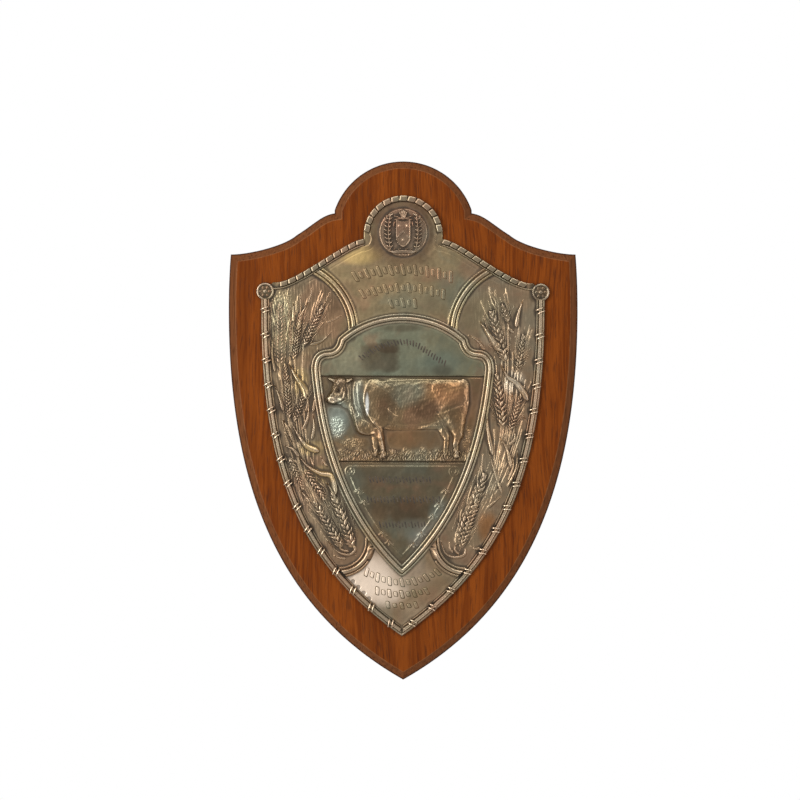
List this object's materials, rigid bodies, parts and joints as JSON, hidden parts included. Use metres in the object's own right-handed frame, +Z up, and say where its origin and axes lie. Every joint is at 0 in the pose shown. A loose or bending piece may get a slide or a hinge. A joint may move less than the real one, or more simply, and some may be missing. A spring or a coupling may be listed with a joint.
{
  "type": "commemorative shield plaque",
  "caption": "Shield-shaped wooden wall plaque with an embossed metal plate showing an ox in relief inside fields of wheat and a ribbon-tied reeded border.",
  "frame": {"origin": "centre of the board's flat back face, halfway up its height, on the board's axis of symmetry", "axes": "+Z up towards the round arch, +X to the viewer's right, front towards -Y, flat back at Y = 0"},
  "size_m": [0.3074, 0.0284, 0.4567],
  "materials": {
    "mahogany": "varnished red-brown mahogany with fine upright grain, semi-gloss",
    "worn_plate": "worn silver plate gone olive-brown, dark patina in the hollows, satin"
  },
  "bodies": {
    "root": {"backboard": "mahogany", "embossed_plate": "worn_plate"}
  },
  "joints": []
}
